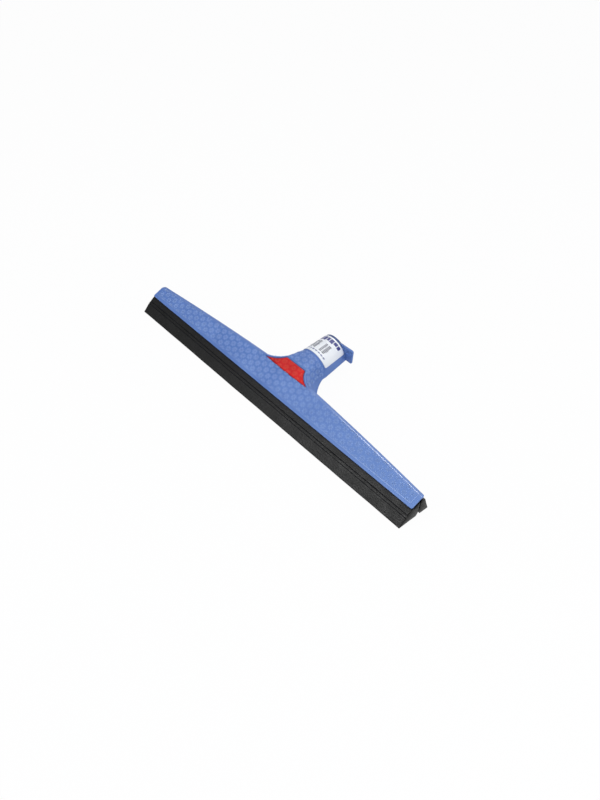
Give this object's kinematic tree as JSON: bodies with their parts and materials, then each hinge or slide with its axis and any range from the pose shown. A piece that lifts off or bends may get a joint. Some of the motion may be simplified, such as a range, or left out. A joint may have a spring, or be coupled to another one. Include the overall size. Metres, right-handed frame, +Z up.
{
  "type": "floor squeegee",
  "caption": "Floor squeegee head: a moulded T-shaped housing with a short angled handle socket, a hanging tab and an accent insert, over a double foam rubber blade.",
  "frame": {"origin": "on the floor under the lips, in the middle of the head's length and depth", "axes": "+X along the blade, -Y is the front where the blade leads, +Y is the side of the handle socket, +Z up"},
  "size_m": [0.4, 0.1152, 0.0418],
  "materials": {
    "housing_plastic": "satin moulded, with a fine moulded texture",
    "foam_rubber": "matte closed-cell foam with a fine pore",
    "carrier_plastic": "plain extruded",
    "accent_plastic": "satin moulded, with a fine moulded texture",
    "label_paper": "coated paper"
  },
  "bodies": {
    "root": {"housing": "housing_plastic", "front_lip": "foam_rubber", "rear_lip": "foam_rubber", "lip_carrier": "carrier_plastic", "accent_insert": "accent_plastic", "socket_label": "label_paper"}
  },
  "joints": []
}
